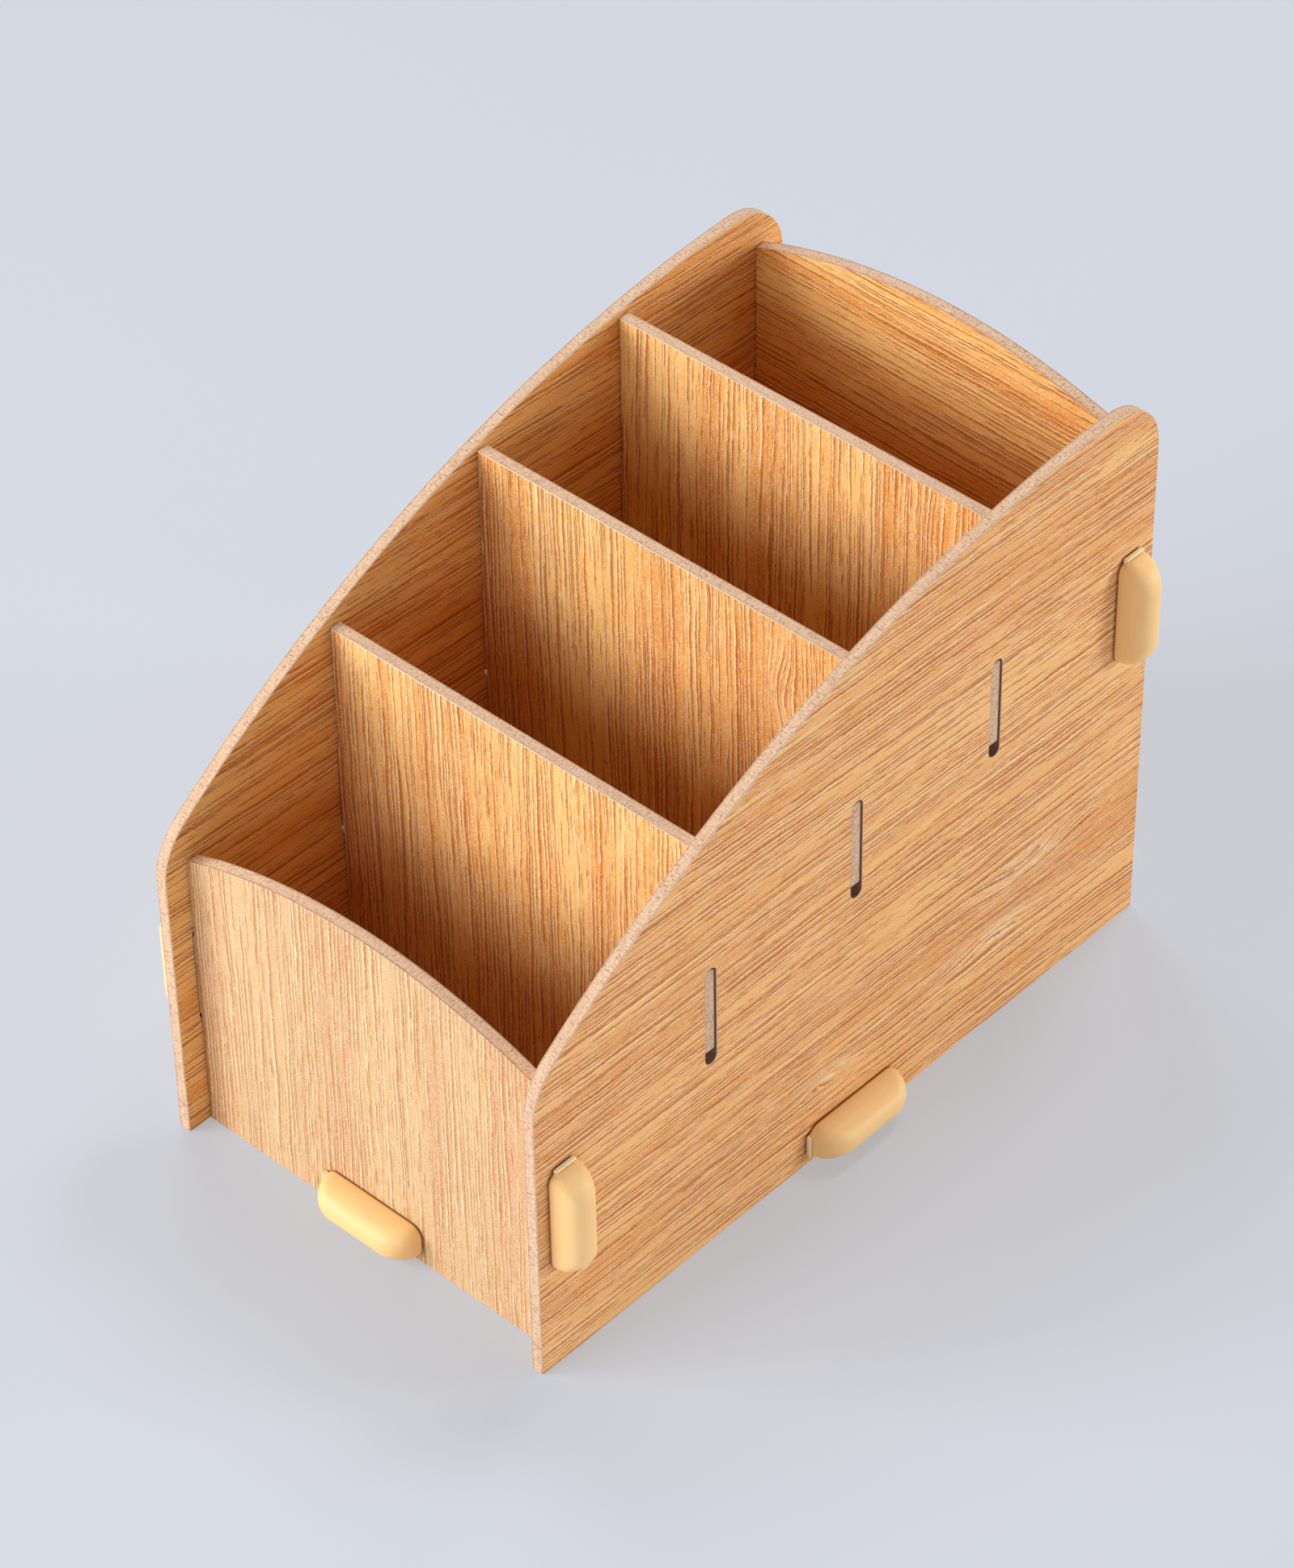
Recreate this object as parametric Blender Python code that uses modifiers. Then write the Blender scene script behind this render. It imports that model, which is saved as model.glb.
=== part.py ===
"""Desk organizer of slotted fibreboard panels, locked together by push-on moulded clips.

Metres, +Z up. The origin is on the table under the middle of the box and the front faces -Y.
Right and left are as seen from the front.
"""

import math

import bmesh
import bpy
from mathutils import Matrix, Vector

OBJECT_NAME = "desk_organizer"
UP = Vector((0, 0, 1))

# The board that every panel is cut from, and the play between pieces that meet
BOARD = 0.0036
PLAY = 0.0003

# Side panels: width over both, depth, the circle that the top edge sweeps along and its two rounded ends
WIDTH = 0.130
DEPTH = 0.230
SIDE_ARC_RADIUS = 0.3526
SIDE_ARC_TOP = 0.1754
SIDE_ARC_TOP_SETBACK = 0.0069
SIDE_FRONT_RADIUS = 0.020
SIDE_REAR_RADIUS = 0.017

# Front and back panels: set in from the side panels' edges, with arched tops
END_SETBACK = 0.0073
FRONT_SHOULDER = 0.0900
FRONT_CROWN = 0.1017
BACK_SHOULDER = 0.1634
BACK_CROWN = 0.1742

# Dividers: name, front edge of the box to the front face, top, middle of the slots
DIVIDERS = (
    ("front_divider", 0.0605, 0.1325, 0.0783),
    ("middle_divider", 0.1142, 0.1571, 0.0970),
    ("rear_divider", 0.1668, 0.1694, 0.1093),
)

# Heights of the middle of the other tabs; the base panel lies level at its own
FRONT_TAB_HEIGHT = 0.0508
BACK_TAB_HEIGHT = 0.1107
BASE_HEIGHT = 0.0073

# Tabs and the routed slots that they pass through
SLOT_LENGTH = 0.0320
SLOT_WIDTH = BOARD + 2 * PLAY
TAB_LENGTH = 0.0270
TAB_REACH = 0.0055
TAB_CORNER = 0.0006
DIVIDER_TAB_RISE = 0.0012
DIVIDER_TAB_RECESS = 0.0005

# The clip: a domed cap with a release lip and a nail groove at one end, and a pocket for the tab
CLIP_LENGTH = 0.0334
CLIP_WIDTH = 0.0105
CLIP_HEIGHT = 0.0089
CLIP_CORNER = 0.0035
CLIP_END_ROUND = 0.0099
CLIP_FULLNESS = 0.85
CLIP_TOP_TURN = math.radians(86)
LIP_WIDTH = 0.0070
LIP_HEIGHT = 0.0015
LIP_REACH = 0.0009
LIP_ROOT = 0.0015
LIP_EDGE = 0.0003
GROOVE_WIDTH = 0.0005
GROOVE_DEPTH = 0.0008
GROOVE_BITE = 0.0001
POCKET_LEAD = 0.0005

# Steps along the round stretches, and the steepest crease that is shaded smooth
SWEEP_STEPS = 28
ROUND_STEPS = 8
TAB_CORNER_STEPS = 2
CLIP_CORNER_STEPS = 7
CLIP_RISE_STEPS = 10
LIP_EDGE_STEPS = 2
SMOOTH_ANGLE = math.radians(35)

# Finishes: colour, roughness
WOOD_FILM = (0.56, 0.31, 0.12), 0.45
CLIP_PLASTIC = (0.83, 0.54, 0.20), 0.40

# Places that follow from the sizes above
INNER_FACE = WIDTH / 2 - BOARD
PANEL_EDGE = INNER_FACE - PLAY
FRONT_MIDDLE = -DEPTH / 2 + END_SETBACK + BOARD / 2
BACK_MIDDLE = -FRONT_MIDDLE
BASE_TOP = BASE_HEIGHT + BOARD / 2
CLIPPED_REACH = PLAY + BOARD + TAB_REACH
FLUSH_REACH = PLAY + BOARD - DIVIDER_TAB_RECESS

# Turns that stand a drawn outline up along the depth, or across the width
ALONG_DEPTH = (math.radians(90), 0, math.radians(90))
ACROSS_WIDTH = (math.radians(90), 0, 0)
LYING_FLAT = (0, 0, 0)


def clear_scene():
    for obj in list(bpy.data.objects):
        bpy.data.objects.remove(obj)


def new_collection(name):
    collection = bpy.data.collections.new(name)
    bpy.context.scene.collection.children.link(collection)
    return collection


def new_material(name, finish):
    colour, roughness = finish
    material = bpy.data.materials.new(name)
    material.use_nodes = True
    shader = material.node_tree.nodes["Principled BSDF"]
    shader.inputs["Base Color"].default_value = (*colour, 1)
    shader.inputs["Roughness"].default_value = roughness
    shader.inputs["Metallic"].default_value = 0
    return material


def arc(centre, radius, start, end, steps):
    """Points on a circle from one angle to another, both ends included."""
    points = []
    for step in range(steps + 1):
        angle = start + (end - start) * step / steps
        points.append((centre[0] + radius * math.cos(angle), centre[1] + radius * math.sin(angle)))
    return points


def slot(middle, upright):
    """A routed slot: two straight sides and two round ends."""
    radius = SLOT_WIDTH / 2
    offset = SLOT_LENGTH / 2 - radius
    turn = math.pi / 2 if upright else 0
    points = []
    for heading in (turn, turn + math.pi):
        centre = (middle[0] + offset * math.cos(heading), middle[1] + offset * math.sin(heading))
        points += arc(centre, radius, heading - math.pi / 2, heading + math.pi / 2, ROUND_STEPS)
    return points


def side_outline():
    """The side panel in depth and height: one long sweep, rounded into the upright edges."""
    sweep = Vector((DEPTH / 2 - SIDE_ARC_TOP_SETBACK, SIDE_ARC_TOP - SIDE_ARC_RADIUS))

    def rounding(depth, radius):
        """Centre of a round that touches the sweep from inside, and the angle where they touch."""
        reach = SIDE_ARC_RADIUS - radius
        rise = math.sqrt(reach**2 - (depth - sweep.x) ** 2)
        return (depth, sweep.y + rise), math.atan2(rise, depth - sweep.x)

    front, front_angle = rounding(-DEPTH / 2 + SIDE_FRONT_RADIUS, SIDE_FRONT_RADIUS)
    rear, rear_angle = rounding(DEPTH / 2 - SIDE_REAR_RADIUS, SIDE_REAR_RADIUS)
    outline = [(-DEPTH / 2, 0), (DEPTH / 2, 0)]
    outline += arc(rear, SIDE_REAR_RADIUS, 0, rear_angle, ROUND_STEPS)
    outline += arc(sweep, SIDE_ARC_RADIUS, rear_angle, front_angle, SWEEP_STEPS)[1:-1]
    outline += arc(front, SIDE_FRONT_RADIUS, front_angle, math.pi, ROUND_STEPS)
    return outline


def tab(edge, middle, reach):
    """A tab on the right edge, going up, with rounded tips; a left edge is negative and goes down."""
    side = math.copysign(1, edge)
    root = abs(edge)
    half = TAB_LENGTH / 2
    centre = (root + reach - TAB_CORNER, half - TAB_CORNER)
    quarter = math.pi / 2
    points = [(root, -half)]
    points += arc((centre[0], -centre[1]), TAB_CORNER, -quarter, 0, TAB_CORNER_STEPS)
    points += arc(centre, TAB_CORNER, 0, quarter, TAB_CORNER_STEPS)
    points += [(root, half)]
    return [(side * across, middle + side * along) for across, along in points]


def crown(shoulder, top):
    """An arched top edge across the width, from the right shoulder to the left one."""
    rise = top - shoulder
    radius = (PANEL_EDGE**2 + rise**2) / (2 * rise)
    spread = math.asin(PANEL_EDGE / radius)
    middle = math.pi / 2
    return arc((0, top - radius), radius, middle - spread, middle + spread, SWEEP_STEPS)


def wall_outline(bottom, top_edge, tab_height, reach):
    """A panel across the width, with a tab at each side and the given top edge."""
    outline = [(-PANEL_EDGE, bottom), (PANEL_EDGE, bottom)]
    outline += tab(PANEL_EDGE, tab_height, reach)
    outline += top_edge
    outline += tab(-PANEL_EDGE, tab_height, reach)
    return outline


def base_outline():
    """The floor of the compartments, with a tab in the middle of each side."""
    end = BACK_MIDDLE - BOARD / 2 - PLAY
    outline = [(PANEL_EDGE, -end)] + tab(PANEL_EDGE, 0, CLIPPED_REACH) + [(PANEL_EDGE, end)]
    outline += [(-across, depth) for depth, across in tab(end, 0, CLIPPED_REACH)]
    outline += [(-PANEL_EDGE, end)] + tab(-PANEL_EDGE, 0, CLIPPED_REACH) + [(-PANEL_EDGE, -end)]
    outline += [(-across, depth) for depth, across in tab(-end, 0, CLIPPED_REACH)]
    return outline


def add_board(name, outline, slots, location, turn, material, carcass, collection):
    """A panel: the drawn outline with its slots, as thick as the board."""
    curve = bpy.data.curves.new(name, "CURVE")
    curve.dimensions = "2D"
    curve.fill_mode = "BOTH"
    curve.extrude = BOARD / 2
    for loop in [outline, *slots]:
        spline = curve.splines.new("POLY")
        spline.points.add(len(loop) - 1)
        for point, (across, along) in zip(spline.points, loop):
            point.co = (across, along, 0, 1)
        spline.use_cyclic_u = True
    curve.materials.append(material)
    board = bpy.data.objects.new(name, curve)
    board.location = location
    board.rotation_euler = turn
    board.parent = carcass
    collection.objects.link(board)


def clip_ring(turn):
    """One level section of the dome; turn runs from 0 at the seat to nearly a quarter on top."""
    shrink = 1 - math.cos(turn) ** CLIP_FULLNESS
    half_length = CLIP_LENGTH / 2 - CLIP_END_ROUND * shrink
    half_width = CLIP_WIDTH / 2 * (1 - shrink)
    radius = min(CLIP_CORNER + (CLIP_WIDTH / 2 - CLIP_CORNER) * shrink, half_width)
    height = CLIP_HEIGHT * math.sin(turn) ** CLIP_FULLNESS
    ring = []
    for quarter, (end, side) in enumerate(((1, 1), (-1, 1), (-1, -1), (1, -1))):
        centre = (end * (half_length - radius), side * (half_width - radius))
        start = quarter * math.pi / 2
        ring += arc(centre, radius, start, start + math.pi / 2, CLIP_CORNER_STEPS)
    return [Vector((along, across, height)) for along, across in ring]


def clip_dome():
    """The cap as a loft through its level sections, closed by the seat and the crest."""
    mesh = bmesh.new()
    rings = []
    for step in range(CLIP_RISE_STEPS + 1):
        points = clip_ring(CLIP_TOP_TURN * step / CLIP_RISE_STEPS)
        rings.append([mesh.verts.new(point) for point in points])
    for lower, upper in zip(rings, rings[1:]):
        for index in range(len(lower)):
            after = (index + 1) % len(lower)
            mesh.faces.new((lower[index], lower[after], upper[after], upper[index]))
    mesh.faces.new(reversed(rings[0]))
    mesh.faces.new(rings[-1])
    return mesh


def box(low, high):
    """A block between two corners."""
    mesh = bmesh.new()
    size = Vector(high) - Vector(low)
    middle = (Vector(high) + Vector(low)) / 2
    bmesh.ops.create_cube(mesh, size=1, matrix=Matrix.Translation(middle) @ Matrix.Diagonal((*size, 1)))
    return mesh


def lead_in(corner):
    """The flared mouth of the pocket, which widens towards the seat."""
    mesh = box((-corner.x, -corner.y, -POCKET_LEAD), (corner.x, corner.y, POCKET_LEAD))
    for vert in mesh.verts:
        if vert.co.z < 0:
            vert.co.x += math.copysign(2 * POCKET_LEAD, vert.co.x)
            vert.co.y += math.copysign(2 * POCKET_LEAD, vert.co.y)
    return mesh


def add_helper(name, mesh, collection):
    """A mesh that shapes the clip and isn't a piece of the object."""
    data = bpy.data.meshes.new(name)
    mesh.to_mesh(data)
    mesh.free()
    helper = bpy.data.objects.new(name, data)
    helper.hide_render = True
    helper.display_type = "WIRE"
    collection.objects.link(helper)
    return helper


def clip_mesh(helpers, material):
    """The finished clip, lying along X with its lip at +X and its seat on the XY plane."""
    dome = add_helper("clip_dome", clip_dome(), helpers)
    end = CLIP_LENGTH / 2
    lip_low = (end - LIP_ROOT, -LIP_WIDTH / 2, 0)
    lip_high = (end + LIP_REACH, LIP_WIDTH / 2, LIP_HEIGHT)
    lip = add_helper("clip_lip", box(lip_low, lip_high), helpers)
    rounding = lip.modifiers.new("rounded_lip", "BEVEL")
    rounding.width = LIP_EDGE
    rounding.segments = LIP_EDGE_STEPS
    groove_low = (end - GROOVE_BITE, -LIP_WIDTH, LIP_HEIGHT - GROOVE_DEPTH)
    groove_high = (end - GROOVE_BITE + GROOVE_WIDTH, LIP_WIDTH, LIP_HEIGHT + GROOVE_DEPTH)
    groove = add_helper("clip_groove", box(groove_low, groove_high), helpers)
    pocket_corner = Vector((TAB_LENGTH / 2 + PLAY, BOARD / 2 + PLAY, TAB_REACH))
    pocket_low = (-pocket_corner.x, -pocket_corner.y, -TAB_REACH)
    pocket = add_helper("clip_pocket", box(pocket_low, pocket_corner), helpers)
    mouth = add_helper("clip_mouth", lead_in(pocket_corner), helpers)
    for name, tool, operation in (
        ("lip", lip, "UNION"),
        ("groove", groove, "DIFFERENCE"),
        ("pocket", pocket, "DIFFERENCE"),
        ("mouth", mouth, "DIFFERENCE"),
    ):
        step = dome.modifiers.new(name, "BOOLEAN")
        step.object = tool
        step.operation = operation
        step.solver = "EXACT"
    graph = bpy.context.evaluated_depsgraph_get()
    mesh = bpy.data.meshes.new_from_object(dome.evaluated_get(graph))
    mesh.name = "clip"
    mesh.materials.clear()
    mesh.materials.append(material)
    mesh.shade_smooth()
    mesh.set_sharp_from_angle(angle=SMOOTH_ANGLE)
    return mesh


def add_clip(name, mesh, seat, outward, lip, collection):
    """A clip on its seat, facing outward, with its origin on the line that it pulls off along."""
    clip = bpy.data.objects.new(name, mesh)
    turn = Matrix((lip, outward.cross(lip), outward)).transposed()
    clip.location = seat
    clip.rotation_euler = turn.to_euler()
    collection.objects.link(clip)


def main():
    clear_scene()
    parts = new_collection(OBJECT_NAME)
    helpers = new_collection("cutters")
    wood = new_material("wood_film_board", WOOD_FILM)
    plastic = new_material("clip_plastic", CLIP_PLASTIC)
    carcass = bpy.data.objects.new("carcass", None)
    parts.objects.link(carcass)

    # Side panels
    side_slots = [
        slot((FRONT_MIDDLE, FRONT_TAB_HEIGHT), True),
        slot((BACK_MIDDLE, BACK_TAB_HEIGHT), True),
        slot((0, BASE_HEIGHT), False),
    ]
    for _, setback, _, slot_height in DIVIDERS:
        side_slots.append(slot((-DEPTH / 2 + setback + BOARD / 2, slot_height), True))
    for side, word in ((1, "right"), (-1, "left")):
        place = (side * (WIDTH - BOARD) / 2, 0, 0)
        name = f"{word}_side_panel"
        add_board(name, side_outline(), side_slots, place, ALONG_DEPTH, wood, carcass, parts)

    # Front and back panels
    base_slot = slot((0, BASE_HEIGHT), False)
    for name, depth, shoulder, top, tab_height in (
        ("front_panel", FRONT_MIDDLE, FRONT_SHOULDER, FRONT_CROWN, FRONT_TAB_HEIGHT),
        ("back_panel", BACK_MIDDLE, BACK_SHOULDER, BACK_CROWN, BACK_TAB_HEIGHT),
    ):
        outline = wall_outline(0, crown(shoulder, top), tab_height, CLIPPED_REACH)
        add_board(name, outline, [base_slot], (0, depth, 0), ACROSS_WIDTH, wood, carcass, parts)

    # Dividers, which stand on the base panel
    for name, setback, top, slot_height in DIVIDERS:
        depth = -DEPTH / 2 + setback + BOARD / 2
        top_edge = [(PANEL_EDGE, top), (-PANEL_EDGE, top)]
        tab_height = slot_height + DIVIDER_TAB_RISE
        outline = wall_outline(BASE_TOP + PLAY, top_edge, tab_height, FLUSH_REACH)
        add_board(name, outline, [], (0, depth, 0), ACROSS_WIDTH, wood, carcass, parts)

    # Base panel
    add_board("base_panel", base_outline(), [], (0, 0, BASE_HEIGHT), LYING_FLAT, wood, carcass, parts)

    # Clips: lips up on the upright ones, to the left seen from outside on the level ones
    mesh = clip_mesh(helpers, plastic)
    for side, word in ((1, "right"), (-1, "left")):
        face = side * (WIDTH / 2 + PLAY)
        outward = Vector((side, 0, 0))
        add_clip(f"{word}_front_clip", mesh, (face, FRONT_MIDDLE, FRONT_TAB_HEIGHT), outward, UP, parts)
        add_clip(f"{word}_rear_clip", mesh, (face, BACK_MIDDLE, BACK_TAB_HEIGHT), outward, UP, parts)
        add_clip(f"{word}_base_clip", mesh, (face, 0, BASE_HEIGHT), outward, outward.cross(UP), parts)
    for end, word in ((-1, "front"), (1, "back")):
        face = end * (DEPTH / 2 - END_SETBACK + PLAY)
        outward = Vector((0, end, 0))
        add_clip(f"{word}_base_clip", mesh, (0, face, BASE_HEIGHT), outward, outward.cross(UP), parts)


main()
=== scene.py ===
"""Looks of the slotted desk organizer: film-faced boards, moulded clips, a pale floor and soft light."""

import math

import bmesh
import bpy
from mathutils import Matrix, Vector


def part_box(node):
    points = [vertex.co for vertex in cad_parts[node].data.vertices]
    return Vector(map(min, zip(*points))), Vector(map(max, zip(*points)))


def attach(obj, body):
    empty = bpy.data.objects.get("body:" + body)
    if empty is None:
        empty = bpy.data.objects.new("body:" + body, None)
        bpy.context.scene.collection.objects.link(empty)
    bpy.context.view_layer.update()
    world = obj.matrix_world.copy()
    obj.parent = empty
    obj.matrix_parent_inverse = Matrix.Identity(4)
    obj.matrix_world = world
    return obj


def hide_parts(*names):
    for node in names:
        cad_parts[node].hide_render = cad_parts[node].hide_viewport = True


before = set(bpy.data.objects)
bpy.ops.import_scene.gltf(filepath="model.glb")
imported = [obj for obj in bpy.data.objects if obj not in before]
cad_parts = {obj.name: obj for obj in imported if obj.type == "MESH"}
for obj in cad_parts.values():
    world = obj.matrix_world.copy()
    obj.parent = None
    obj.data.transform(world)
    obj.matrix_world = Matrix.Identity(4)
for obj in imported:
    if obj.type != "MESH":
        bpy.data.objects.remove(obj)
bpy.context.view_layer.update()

MM_PER_METRE = 1000

# The photograph's camera: angles in degrees, distances in metres, focal length and frame in pixels
AZIMUTH = 43.522
ELEVATION = 41.504
ROLL = -1.059
TARGET = Vector((-0.00455, -0.00058, 0.07859))
DISTANCE = 1.37667
FOCAL_PIXELS = 6658.7
FRAME_HEIGHT_PIXELS = 1939
SENSOR_MM = 36

# Boards: the way the printed grain runs, its lean in degrees, the tint, and how pale it is, partly painted
# light
UPRIGHT = Vector((0, 0, 1))
ACROSS = Vector((1, 0, 0))
BACKWARD = Vector((0, 1, 0))
# Tint and paleness mix the print's own tone with painted light that evens out how brightly each board is lit
BOARDS = (
    ("left_side_panel", BACKWARD, 1.5, (1.0, 0.97, 0.93), 0.0),
    ("right_side_panel", BACKWARD, 1.0, (0.99, 0.92, 0.96), 0.05),
    # The front panel's paleness and dimmer tint paint the washed-out look of its strong light
    ("front_panel", UPRIGHT, -0.5, (0.86, 0.875, 0.94), 0.5),
    ("back_panel", ACROSS, -1.5, (1.0, 0.99, 0.93), 0.0),
    ("front_divider", UPRIGHT, 0.0, (0.95, 0.96, 0.98), 0.05),
    ("middle_divider", UPRIGHT, 0.5, (0.91, 0.92, 0.92), 0.0),
    ("rear_divider", UPRIGHT, -0.5, (0.97, 0.98, 0.98), 0.0),
    ("base_panel", ACROSS, 0.0, (1.0, 1.0, 1.0), 0.0),
)

# Clips: the way the lip points, where that isn't up
LIPS = {
    "right_base_clip": -BACKWARD,
    "left_base_clip": BACKWARD,
    "front_base_clip": -ACROSS,
    "back_base_clip": ACROSS,
}

# Knots and pale figure in the print: place in metres, length and width in millimetres, how far they push
# the grain aside in millimetres, how pale they are, and whether they have a dark heart
KNOTS = {
    "right_side_panel": (
        (Vector((0.0650, 0.0675, 0.046)), 17, 5.0, 4.0, 0.9, False),
        (Vector((0.0650, 0.0570, 0.031)), 16, 4.0, -3.0, 0.7, False),
        (Vector((0.0650, -0.0085, 0.0265)), 11, 2.6, -2.0, 0.9, False),
        (Vector((0.0650, -0.0141, 0.0246)), 3, 1.6, -1.0, 0.0, True),
    ),
    "middle_divider": (
        (Vector((0.0406, -0.0008, 0.134)), 13, 4.5, 3.0, 0.6, False),
    ),
}
KNOT_DEPTH = 1.5
HEART_SIZE = 0.32

# Cleaning the meshes, and the broken arris of a routed edge, in metres
WELD = 0.00001
FLAT_ANGLE = math.radians(1)
SHARP_ANGLE = math.radians(40)
ARRIS = 0.0002
CLIP_ARRIS = 0.00025
ARRIS_STEPS = 2

# Faces of a board by how far they look through it, from 0 to 1, and the order of its materials
EDGE_LEVEL = 0.1
NEAR_FACE_LEVEL = 0.9
FACE_LEVEL = 0.99
FILM, BARE_EDGE, CUT_FILM, SLOT = range(4)

# Patterns: length along the grain and width across it in millimetres, and steps of finer detail
SWAY = (170, 50, 1)
RIPPLE = (16, 7, 1)
TREMOR = (1.3, 0.8, 1)
BANDS = (260, 9, 2)
STRETCHES = (50, 4, 1)
WISPS = (16, 1.6, 2)
DASHES = (7, 0.9, 2)
SAND = (0.4, 0.28, 1)
RING_BEND = (260, 10, 0)
PORE_BEND = (90, 4, 0)
EDGE_SPECKS = (0.4, 0.4, 2)
EDGE_PATCHES = (9, 9, 2)
EDGE_WEAR = (3, 3, 3)
SLOT_MOTTLE = (0.6, 0.6, 3)
CLIP_FLOW = (14, 5, 2)
CLIP_SKIN = (0.22, 0.22, 2)

# How rough the finer detail of a pattern is, from 0 to 1
PLAIN_GRIT = 0.5
EDGE_GRIT = 0.6
SLOT_GRIT = 0.65

# How far the grain wavers sideways with each pattern, in millimetres
WAVERS = ((SWAY, 2.5), (RIPPLE, 0.6), (TREMOR, 0.3))

# Places of the print's patterns in millimetres: between boards, and how much the thickness of one counts
BOARDS_APART = (311.7, 173.3, 29.1)
FACES_APART = 20

# Growth rings and pores in millimetres: their spacing and how unevenly they run; where late wood and a dark
# streak end and are full, past their line; where a pale line starts and is full, ahead of the next line
RING_SPACING = 3.0
PORE_SPACING = 1.5
UNEVEN = 0.65
LATE_WOOD = (1.5, 0.2)
STREAK = (0.9, 0.05)
PALE_LEAD = (0.45, 0.2)

# The values of a pattern at which a feature starts and is full, and its strength where that isn't 1
LATE_SHOWN = (0.40, 0.60)
RINGS_SHOWN = (0.40, 0.55)
PORES_SHOWN = (0.92, 1.08)
SPECKS_SHOWN = (0.54, 0.64, 0.9)
RUSTY_SAND = (0.75, 0.25, 0.15)
GOLD_BANDS = (0.34, 0.62)
FIGURE_SHOWN = (0.42, 0.56)
EDGE_PALE_PATCHES = (0.3, 0.7, 0.5)
EDGE_DARK_SPECKS = (0.47, 0.33, 0.8)
EDGE_PALE_SPECKS = (0.53, 0.68, 0.9)
EDGE_WORN = (0.30, 0.55)
SLOT_MOTTLED = (0.45, 0.65, 0.4)
CLIP_STREAMS = (0.3, 0.7)

# The same for places in millimetres: from a board's middle, along a clip, and up from its middle
GLUE_DEPTH = (1.32, 1.48, 0.5)
LIP_START = (16.1, 16.3)
SEAT_SHADE_BAND = (-3.95, -4.2)

# Strengths of the print's parts, and what late wood and streaks lose of it on a wholly pale print
LATE_STRENGTH = 0.75
PALE_STRENGTH = 0.8
DARK_STRENGTH = 0.8
PALENESS_FADE = 0.5

# Colours, linear
FILM_GOLD = (0.98, 0.57, 0.185)
FILM_DEEP = (0.84, 0.36, 0.085)
FILM_RUST = (0.62, 0.19, 0.02)
FILM_LINE = (0.43, 0.105, 0.004)
# Pale of the knots' figure, and of lines and specks that are partly print, partly painted highlight of the
# embossed grain
FILM_PALE = (0.98, 0.78, 0.46)
FILM_WHITE = (0.59, 0.435, 0.29)
HEART = (0.28, 0.11, 0.035)
FILM_EDGE = (0.70, 0.54, 0.38)
FIBRE = (0.63, 0.395, 0.245)
FIBRE_DARK = (0.33, 0.18, 0.105)
FIBRE_PALE = (0.76, 0.54, 0.37)
GLUE_LINE = (0.24, 0.12, 0.065)
# The slot wall colour is painted shade of the deep slots, not the fibre's own colour
SLOT_SHADE = (0.25, 0.13, 0.075)
CLIP_YELLOW = (0.98, 0.635, 0.275)
CLIP_DEEP = (0.97, 0.61, 0.25)
# The lip's pale colour is a painted highlight of the thin translucent lip
CLIP_LIP_HIGHLIGHT = (0.98, 0.82, 0.50)
# The dark line round a clip's seat is painted shade of the gap where it sits on the board
CLIP_SEAT_SHADE = (0.38, 0.16, 0.03)

# Surfaces: share of mirrored light, roughness and what a pattern adds to it, and relief in metres with
# its strength
FILM_SHEEN = 0.15
FILM_ROUGHNESS = 0.45
FILM_ROUGHNESS_RANGE = 0.2
FILM_RELIEF = (0.00003, 0.5)
FIBRE_ROUGHNESS = 0.8
CUT_FILM_ROUGHNESS = 0.6
EDGE_RELIEF = (0.0001, 0.4)
SLOT_ROUGHNESS = 0.9
CLIP_ROUGHNESS = 0.46
CLIP_ROUGHNESS_RANGE = 0.12
CLIP_RELIEF = (0.00002, 0.3)
FLOOR_SHEEN = 0.2
FLOOR_ROUGHNESS = 0.7

# The floor as other things receive its light, and as it is seen: what the lamps add to, and an even glow
FLOOR_BOUNCE = (0.66, 0.69, 0.75)
FLOOR_SHADED = (0.26, 0.295, 0.36)
FLOOR_GLOW = (0.345, 0.34, 0.34)

# The floor's reach from the middle, and how far it lies below the object, in metres
FLOOR_REACH = 4
FLOOR_DROP = 0.0001

# Soft boxes round the object: turn from the front to the right and lift, in degrees, and power in watts
LAMPS = (
    ("left_key", -45, 24, 11.7),
    ("left_low_key", -45, 8, 8.7),
    ("high_key", -30, 32, 8.2),
    ("low_key", -15, 16, 9.5),
    ("front_fill", 0, 32, 4.4),
    ("right_fill", 40, 12, 5.2),
    ("right_side_fill", 105, 12, 5.2),
    ("right_rear_fill", 135, 12, 15.5),
    ("rear_fill", 180, 60, 13.5),
    ("left_rear_fill", -120, 60, 10.0),
)
LAMP_AIM = Vector((0, 0, 0.08))
LAMP_DISTANCE = 1.9
LAMP_SIZE = 0.6
ROOM_LIGHT = 0.02


def add(tree, kind, inputs=None, **settings):
    """A shader node with its settings; an input is a value, or a socket to link from."""
    made = tree.nodes.new("ShaderNode" + kind)
    for name, value in settings.items():
        setattr(made, name, value)
    for name, value in (inputs or {}).items():
        if isinstance(value, bpy.types.NodeSocket):
            tree.links.new(value, made.inputs[name])
        else:
            made.inputs[name].default_value = value
    return made


def maths(tree, operation, *values):
    return add(tree, "Math", dict(enumerate(values)), operation=operation).outputs[0]


def vector_maths(tree, operation, *values):
    return add(tree, "VectorMath", dict(enumerate(values)), operation=operation).outputs[0]


def mixed(tree, factor, first, second):
    """A colour between two; each is a socket or a linear colour."""
    first, second = (c if isinstance(c, bpy.types.NodeSocket) else (*c, 1) for c in (first, second))
    return add(tree, "Mix", {0: factor, 6: first, 7: second}, data_type="RGBA").outputs[2]


def rising(tree, value, low, high, most=1.0):
    """0 below low, the most above high and smooth between; low may be above high, to fall instead."""
    inputs = {"Value": value, "From Min": low, "From Max": high, "To Max": most}
    return add(tree, "MapRange", inputs, interpolation_type="SMOOTHSTEP").outputs[0]


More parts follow.
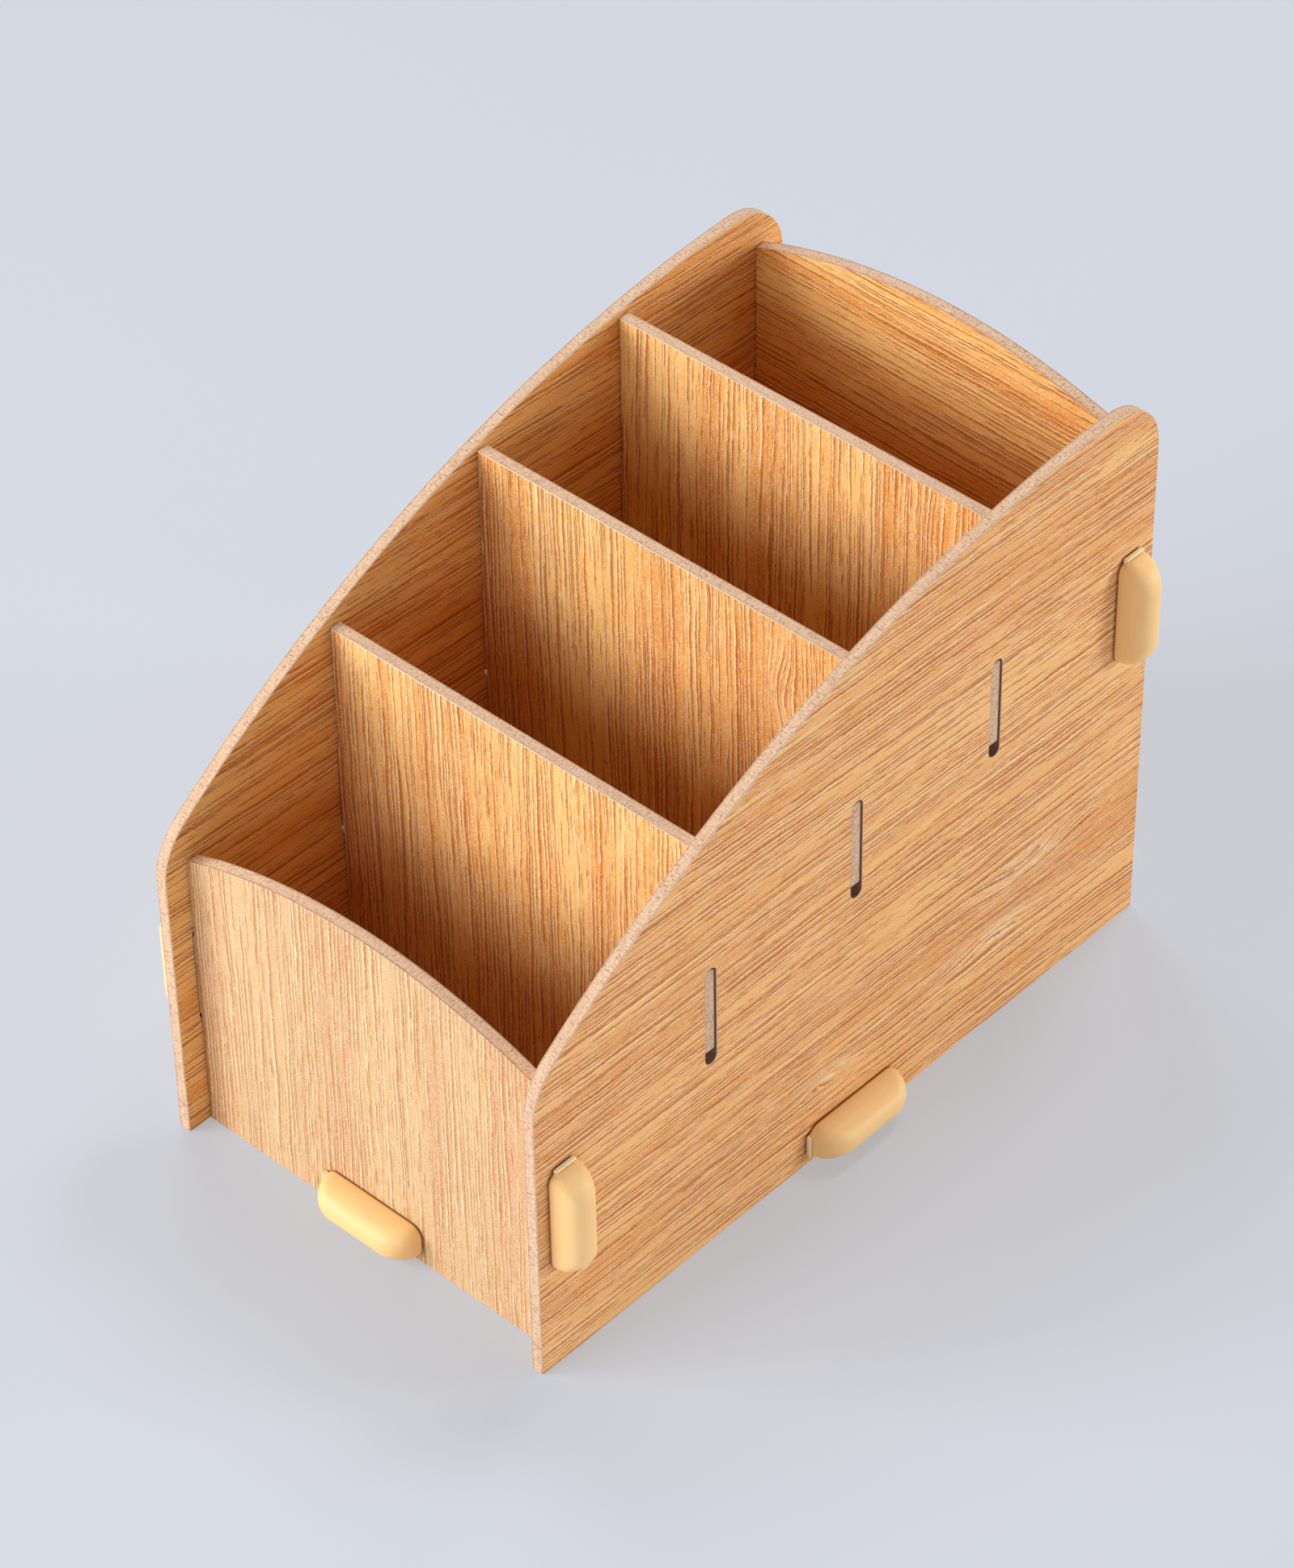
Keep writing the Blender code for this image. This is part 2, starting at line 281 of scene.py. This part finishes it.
def noise(tree, place, pattern, grit=PLAIN_GRIT):
    """Noise of a pattern's length along the grain, width across it and detail."""
    along, across, detail = pattern
    stretched = vector_maths(tree, "MULTIPLY", place, (1 / along, 1 / across, 1))
    inputs = {"Vector": stretched, "Scale": 1, "Detail": detail, "Roughness": grit}
    return add(tree, "TexNoise", inputs).outputs[0]


def wander(tree, place, pattern, reach):
    """A smooth sideways shift of up to about this reach, in millimetres."""
    return maths(tree, "MULTIPLY", maths(tree, "SUBTRACT", noise(tree, place, pattern), 0.5), 2 * reach)


def new_material(name):
    material = bpy.data.materials.new(name)
    material.use_nodes = True
    tree = material.node_tree
    return material, tree, tree.nodes["Principled BSDF"]


def millimetres(tree, lean=0.0):
    """Place in the piece's own frame in millimetres: along the grain, across it, and through the piece."""
    place = add(tree, "TexCoord").outputs["Object"]
    turn = {"Vector": place, "Angle": math.radians(lean)}
    turned = add(tree, "VectorRotate", turn, rotation_type="Z_AXIS").outputs[0]
    return vector_maths(tree, "MULTIPLY", turned, (MM_PER_METRE, MM_PER_METRE, MM_PER_METRE))


def bumped(tree, shader, height, distance, strength):
    inputs = {"Height": height, "Distance": distance, "Strength": strength}
    bump = add(tree, "Bump", inputs)
    tree.links.new(bump.outputs[0], shader.inputs["Normal"])


def nearness(tree, place, centre, length, width):
    """1 at a point, falling to 0 over this length and width in millimetres; it stays on its own face."""
    gap = vector_maths(tree, "SUBTRACT", place, centre)
    scaled = vector_maths(tree, "DIVIDE", gap, (length, width, KNOT_DEPTH))
    square = add(tree, "VectorMath", {0: scaled, 1: scaled}, operation="DOT_PRODUCT").outputs["Value"]
    return maths(tree, "EXPONENT", maths(tree, "MULTIPLY", square, -1))


def past_line(tree, grain, spacing, bend):
    """Distance in millimetres past the last of a set of lines, which run along the grain, unevenly apart."""
    across = add(tree, "SeparateXYZ", {"Vector": grain}).outputs["Y"]
    drift = maths(tree, "MULTIPLY", noise(tree, grain, bend), UNEVEN * bend[1] / spacing)
    turns = maths(tree, "MULTIPLY_ADD", across, 1 / spacing, drift)
    return maths(tree, "MULTIPLY", maths(tree, "FRACT", turns), spacing)


def line_pair(tree, past, spacing, shown):
    """A set of dark streaks that fade away to one side, and the thin pale lines that run just before them,
    partly print and partly painted highlight.
    """
    start, full = PALE_LEAD
    dark = maths(tree, "MULTIPLY", rising(tree, past, *STREAK), shown)
    pale = maths(tree, "MULTIPLY", rising(tree, past, spacing - start, spacing - full), shown)
    return dark, pale


def knotted_grain(tree, place, spread, knots):
    """The wavering grain, pushed aside by the knots, with their pale figure and their dark hearts."""
    shift = 0.0
    for pattern, reach in WAVERS:
        shift = maths(tree, "ADD", shift, wander(tree, spread, pattern, reach))
    figure = 0.0
    heart = 0.0
    for centre, length, width, push, pale, has_heart in knots:
        near = nearness(tree, place, centre, length, width)
        shift = maths(tree, "MULTIPLY_ADD", near, push, shift)
        figure = maths(tree, "MULTIPLY_ADD", near, pale, figure)
        if has_heart:
            core = nearness(tree, place, centre, length * HEART_SIZE, width * HEART_SIZE)
            heart = maths(tree, "ADD", core, heart)
    sideways = add(tree, "CombineXYZ", {"Y": shift}).outputs[0]
    return vector_maths(tree, "ADD", spread, sideways), figure, heart


def print_lines(tree, grain, dashes, sand):
    """Where the print has late wood past its growth rings and dark streaks; pale lines and specks are partly
    painted highlight.
    """
    stretches = noise(tree, grain, STRETCHES)
    wisps = noise(tree, grain, WISPS)
    crowd = maths(tree, "ADD", dashes, stretches)
    rings = past_line(tree, grain, RING_SPACING, RING_BEND)
    pores = past_line(tree, grain, PORE_SPACING, PORE_BEND)
    ring_dark, ring_pale = line_pair(tree, rings, RING_SPACING, rising(tree, wisps, *RINGS_SHOWN))
    pore_dark, pore_pale = line_pair(tree, pores, PORE_SPACING, rising(tree, crowd, *PORES_SHOWN))
    late = maths(tree, "MULTIPLY", rising(tree, rings, *LATE_WOOD), rising(tree, stretches, *LATE_SHOWN))
    dark = maths(tree, "MAXIMUM", ring_dark, pore_dark)
    pale = maths(tree, "MAXIMUM", ring_pale, pore_pale)
    return late, dark, maths(tree, "MAXIMUM", pale, rising(tree, sand, *SPECKS_SHOWN))


def film_material(name, seed, lean, tint, paleness, knots):
    """Printed oak film: soft bands, rusty late wood, dark streaks, pale lines and specks partly painted as
    highlight, and knots.
    """
    material, tree, shader = new_material(name)
    place = millimetres(tree, lean)
    spread = vector_maths(tree, "MULTIPLY", place, (1, 1, FACES_APART))
    spread = vector_maths(tree, "ADD", spread, tuple(apart * seed for apart in BOARDS_APART))
    grain, figure, heart = knotted_grain(tree, place, spread, knots)
    bands = noise(tree, grain, BANDS)
    dashes = noise(tree, grain, DASHES)
    sand = noise(tree, spread, SAND)
    late, dark, pale = print_lines(tree, grain, dashes, sand)

    fade = PALENESS_FADE * paleness
    colour = mixed(tree, rising(tree, bands, *GOLD_BANDS), FILM_DEEP, FILM_GOLD)
    # Paleness, partly painted light
    colour = mixed(tree, paleness, colour, FILM_WHITE)
    colour = mixed(tree, maths(tree, "MULTIPLY", late, LATE_STRENGTH - fade), colour, FILM_RUST)
    colour = mixed(tree, rising(tree, sand, *RUSTY_SAND), colour, FILM_RUST)
    if knots:
        patch = maths(tree, "MULTIPLY", figure, rising(tree, dashes, *FIGURE_SHOWN))
        colour = mixed(tree, patch, colour, FILM_PALE)
    # Pale lines and specks, partly painted highlight of the embossing
    colour = mixed(tree, maths(tree, "MULTIPLY", pale, PALE_STRENGTH), colour, FILM_PALE)
    colour = mixed(tree, maths(tree, "MULTIPLY", dark, DARK_STRENGTH - fade), colour, FILM_LINE)
    colour = mixed(tree, heart, colour, HEART)
    # Per-board tint, partly painted light
    colour = vector_maths(tree, "MULTIPLY", colour, tint)
    tree.links.new(colour, shader.inputs["Base Color"])

    roughness = maths(tree, "MULTIPLY_ADD", sand, FILM_ROUGHNESS_RANGE, FILM_ROUGHNESS)
    tree.links.new(roughness, shader.inputs["Roughness"])
    shader.inputs["Specular IOR Level"].default_value = FILM_SHEEN
    bumped(tree, shader, maths(tree, "ADD", sand, dashes), *FILM_RELIEF)
    return material


def fibre_material():
    """The bare routed edge: speckled fibreboard, with a dark glue line under each film."""
    material, tree, shader = new_material("fibreboard_edge")
    place = millimetres(tree)
    specks = noise(tree, place, EDGE_SPECKS, EDGE_GRIT)
    patches = noise(tree, place, EDGE_PATCHES)
    colour = mixed(tree, rising(tree, patches, *EDGE_PALE_PATCHES), FIBRE, FIBRE_PALE)
    colour = mixed(tree, rising(tree, specks, *EDGE_DARK_SPECKS), colour, FIBRE_DARK)
    colour = mixed(tree, rising(tree, specks, *EDGE_PALE_SPECKS), colour, FIBRE_PALE)
    depth = maths(tree, "ABSOLUTE", add(tree, "SeparateXYZ", {"Vector": place}).outputs["Z"])
    colour = mixed(tree, rising(tree, depth, *GLUE_DEPTH), colour, GLUE_LINE)
    tree.links.new(colour, shader.inputs["Base Color"])
    shader.inputs["Roughness"].default_value = FIBRE_ROUGHNESS
    bumped(tree, shader, specks, *EDGE_RELIEF)
    return material


def film_edge_material():
    """The cut edge of the film, a thin pale line along every arris."""
    material, tree, shader = new_material("film_cut_edge")
    place = millimetres(tree)
    worn = noise(tree, place, EDGE_WEAR, EDGE_GRIT)
    colour = mixed(tree, rising(tree, worn, *EDGE_WORN), FIBRE, FILM_EDGE)
    tree.links.new(colour, shader.inputs["Base Color"])
    shader.inputs["Roughness"].default_value = CUT_FILM_ROUGHNESS
    bumped(tree, shader, worn, *EDGE_RELIEF)
    return material


def slot_shade_material():
    """The inside of a routed slot, painted dark and mottled as the shade deep in its recess."""
    material, tree, shader = new_material("slot_painted_shade")
    mottle = noise(tree, millimetres(tree), SLOT_MOTTLE, SLOT_GRIT)
    colour = mixed(tree, rising(tree, mottle, *SLOT_MOTTLED), SLOT_SHADE, FIBRE_DARK)
    tree.links.new(colour, shader.inputs["Base Color"])
    shader.inputs["Roughness"].default_value = SLOT_ROUGHNESS
    return material


def clip_material():
    """Moulded plastic: mustard yellow, satin, with a painted highlight on its thin lip and a painted shade
    line round the seat.
    """
    material, tree, shader = new_material("clip_plastic_satin")
    place = millimetres(tree)
    parted = add(tree, "SeparateXYZ", {"Vector": place})
    flow = noise(tree, place, CLIP_FLOW)
    skin = noise(tree, place, CLIP_SKIN)
    colour = mixed(tree, rising(tree, flow, *CLIP_STREAMS), CLIP_DEEP, CLIP_YELLOW)
    # Painted highlight on the lip
    colour = mixed(tree, rising(tree, parted.outputs["X"], *LIP_START), colour, CLIP_LIP_HIGHLIGHT)
    # Painted shade along the seat, where the clip meets the board
    colour = mixed(tree, rising(tree, parted.outputs["Z"], *SEAT_SHADE_BAND), colour, CLIP_SEAT_SHADE)
    tree.links.new(colour, shader.inputs["Base Color"])
    roughness = maths(tree, "MULTIPLY_ADD", skin, CLIP_ROUGHNESS_RANGE, CLIP_ROUGHNESS)
    tree.links.new(roughness, shader.inputs["Roughness"])
    bumped(tree, shader, skin, *CLIP_RELIEF)
    return material


def own_frame(node, along, facing_out=False):
    """The frame of a piece: its middle, X along the given way, Z through its thinnest side.

    Where it faces out, Z points away from the middle of the object.
    """
    low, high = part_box(node)
    size = high - low
    thin = min(range(3), key=lambda axis: size[axis])
    normal = Vector((0, 0, 0))
    normal[thin] = -1 if facing_out and low[thin] < 0 else 1
    turn = Matrix((along, normal.cross(along), normal)).transposed()
    return Matrix.Translation((low + high) / 2) @ turn.to_4x4()


def cleaned_copy(node, place):
    """The node's mesh in the given frame, welded, with its flat faces whole."""
    shape = bmesh.new()
    shape.from_mesh(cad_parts[node].data)
    bmesh.ops.remove_doubles(shape, verts=shape.verts, dist=WELD)
    bmesh.ops.dissolve_limit(shape, angle_limit=FLAT_ANGLE, verts=shape.verts, edges=shape.edges)
    shape.transform(place.inverted())
    shape.normal_update()
    return shape


def rounded(shape, edges, width):
    bmesh.ops.bevel(
        shape, geom=edges, offset=width, offset_type="OFFSET", segments=ARRIS_STEPS, profile=0.5,
        affect="EDGES", clamp_overlap=True,
    )
    shape.normal_update()


def add_piece(node, shape, place, body, materials):
    """The finished piece that stands for a node, on the node's body."""
    mesh = bpy.data.meshes.new(f"{node}_finished")
    shape.to_mesh(mesh)
    shape.free()
    for material in materials:
        mesh.materials.append(material)
    piece = bpy.data.objects.new(f"{node}_finished", mesh)
    bpy.context.scene.collection.objects.link(piece)
    piece.matrix_world = place
    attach(piece, body)
    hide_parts(node)


def knots_in(node, place, lean):
    """The node's knots in millimetres, in the frame of its grain."""
    turn = Matrix.Rotation(math.radians(lean), 4, "Z") @ place.inverted()
    return [(MM_PER_METRE * (turn @ knot[0]), *knot[1:]) for knot in KNOTS.get(node, ())]


def edge_rings(shape):
    """The rings of edge faces of a board, largest first: one round its outline and one round each slot."""
    left = {face for face in shape.faces if abs(face.normal.z) < EDGE_LEVEL}
    rings = []
    while left:
        ring = set()
        fresh = {left.pop()}
        while fresh:
            ring |= fresh
            fresh = {near for face in fresh for edge in face.edges for near in edge.link_faces} & left
            left -= fresh
        rings.append(ring)
    return sorted(rings, key=lambda ring: sum(face.calc_area() for face in ring), reverse=True)


def is_arris(edge):
    """Whether a sharp edge of a board borders one of its two faces."""
    beside_face = any(abs(face.normal.z) > NEAR_FACE_LEVEL for face in edge.link_faces)
    return beside_face and edge.calc_face_angle(0) > SHARP_ANGLE


def add_board(node, grain, lean, tint, paleness, seed, edge_materials):
    """A board: film on both faces, bare fibre round the outline, slots painted dark as shade, and a thin
    broken arris.
    """
    place = own_frame(node, grain)
    shape = cleaned_copy(node, place)
    rounded(shape, [edge for edge in shape.edges if is_arris(edge)], ARRIS)
    for face in shape.faces:
        level = abs(face.normal.z)
        face.material_index = FILM if level > FACE_LEVEL else BARE_EDGE if level < EDGE_LEVEL else CUT_FILM
        face.smooth = face.material_index != FILM
    # Faces round each slot get the painted shade of a deep recess
    for ring in edge_rings(shape)[1:]:
        for face in ring:
            face.material_index = SLOT
    for edge in shape.edges:
        kinds = {face.material_index for face in edge.link_faces}
        edge.smooth = len(kinds) == 1 and edge.calc_face_angle(0) < SHARP_ANGLE
    film = film_material(f"{node}_film", seed, lean, tint, paleness, knots_in(node, place, lean))
    add_piece(node, shape, place, "carcass", (film, *edge_materials))


def add_clip(node, plastic):
    """A clip with its crisp edges softened; its frame runs towards its lip."""
    place = own_frame(node, LIPS.get(node, UPRIGHT), facing_out=True)
    shape = cleaned_copy(node, place)
    rounded(shape, [edge for edge in shape.edges if edge.calc_face_angle(0) > SHARP_ANGLE], CLIP_ARRIS)
    for face in shape.faces:
        face.smooth = True
    for edge in shape.edges:
        edge.smooth = edge.calc_face_angle(0) < SHARP_ANGLE
    add_piece(node, shape, place, node, (plastic,))


def outward(turn, lift):
    """The way to a point turned from the front to the right and lifted above the table, in degrees."""
    turn, lift = math.radians(turn), math.radians(lift)
    return Vector((math.sin(turn) * math.cos(lift), -math.cos(turn) * math.cos(lift), math.sin(lift)))


def add_camera():
    back = outward(AZIMUTH, ELEVATION)
    data = bpy.data.cameras.new("camera")
    data.sensor_width = SENSOR_MM
    data.lens = FOCAL_PIXELS * SENSOR_MM / FRAME_HEIGHT_PIXELS
    camera = bpy.data.objects.new("camera", data)
    aim = (-back).to_track_quat("-Z", "Y").to_matrix().to_4x4()
    roll = Matrix.Rotation(math.radians(ROLL), 4, "Z")
    camera.matrix_world = Matrix.Translation(TARGET + DISTANCE * back) @ aim @ roll
    bpy.context.scene.collection.objects.link(camera)
    bpy.context.scene.camera = camera


def seen(tree):
    """1 for light that reaches the eye directly or mirrored, 0 for light that falls on other things."""
    path = add(tree, "LightPath")
    mirrored = maths(tree, "MAXIMUM", path.outputs["Is Glossy Ray"], path.outputs["Is Transmission Ray"])
    return maths(tree, "MAXIMUM", path.outputs["Is Camera Ray"], mirrored)


def add_floor():
    """A wide pale sheet under the object, which keeps the object's shadow but shows it lightened."""
    material, tree, shader = new_material("floor_paper")
    shown = seen(tree)
    tree.links.new(mixed(tree, shown, FLOOR_BOUNCE, FLOOR_SHADED), shader.inputs["Base Color"])
    tree.links.new(shown, shader.inputs["Emission Strength"])
    shader.inputs["Emission Color"].default_value = (*FLOOR_GLOW, 1)
    shader.inputs["Roughness"].default_value = FLOOR_ROUGHNESS
    shader.inputs["Specular IOR Level"].default_value = FLOOR_SHEEN
    shape = bmesh.new()
    bmesh.ops.create_grid(shape, x_segments=1, y_segments=1, size=FLOOR_REACH)
    mesh = bpy.data.meshes.new("floor")
    shape.to_mesh(mesh)
    shape.free()
    mesh.materials.append(material)
    floor = bpy.data.objects.new("floor", mesh)
    floor.location.z = -FLOOR_DROP
    bpy.context.scene.collection.objects.link(floor)


def add_lamp(name, turn, lift, watts):
    """A soft box that faces the middle of the object."""
    data = bpy.data.lights.new(name, "AREA")
    data.shape = "SQUARE"
    data.size = LAMP_SIZE
    data.energy = watts
    lamp = bpy.data.objects.new(name, data)
    way = outward(turn, lift)
    lamp.location = LAMP_AIM + LAMP_DISTANCE * way
    lamp.rotation_mode = "QUATERNION"
    lamp.rotation_quaternion = (-way).to_track_quat("-Z", "Y")
    bpy.context.scene.collection.objects.link(lamp)


def add_world():
    """A dim room, which shows pale behind the floor."""
    world = bpy.data.worlds.new("studio")
    world.use_nodes = True
    tree = world.node_tree
    background = tree.nodes["Background"]
    background.inputs["Color"].default_value = (*FLOOR_BOUNCE, 1)
    strength = maths(tree, "MULTIPLY_ADD", seen(tree), 1 - ROOM_LIGHT, ROOM_LIGHT)
    tree.links.new(strength, background.inputs["Strength"])
    bpy.context.scene.world = world
    bpy.context.scene.view_settings.view_transform = "Standard"


add_camera()
edge_materials = (fibre_material(), film_edge_material(), slot_shade_material())
plastic = clip_material()
for seed, board in enumerate(BOARDS):
    add_board(*board, seed, edge_materials)
for node in sorted(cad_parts):
    if node.endswith("_clip"):
        add_clip(node, plastic)
add_floor()
for lamp in LAMPS:
    add_lamp(*lamp)
add_world()
